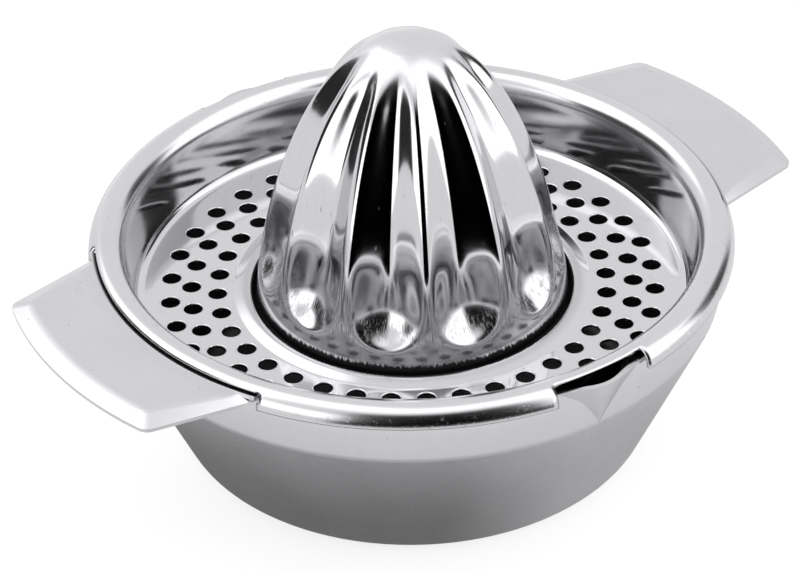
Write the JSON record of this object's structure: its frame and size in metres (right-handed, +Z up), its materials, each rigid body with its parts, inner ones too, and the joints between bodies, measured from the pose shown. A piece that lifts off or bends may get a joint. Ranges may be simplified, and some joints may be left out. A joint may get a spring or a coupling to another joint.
{
  "type": "citrus juicer",
  "caption": "Round steel hand juicer: bowl with side handle tabs and pour spouts, perforated strainer dish with rolled rim, and a fluted reamer cone.",
  "frame": {"origin": "centre of the bowl's underside, on the surface it stands on", "axes": "+Z up along the cone's axis, +X through the middle of one handle tab, +Y through one pour spout"},
  "size_m": [0.1766, 0.1412, 0.0959],
  "materials": {
    "bowl_steel": "satin polished stainless steel",
    "strainer_steel": "mirror polished stainless steel",
    "cone_steel": "mirror polished stainless steel"
  },
  "bodies": {
    "bowl": {"bowl": "bowl_steel"},
    "strainer_and_cone": {"strainer": "strainer_steel", "reamer_cone": "cone_steel"}
  },
  "joints": [
    {"name": "strainer_lift", "type": "slide", "parent": "bowl", "child": "strainer_and_cone", "axis": [0, 0, 1], "range_m": [0, 0.08]}
  ]
}
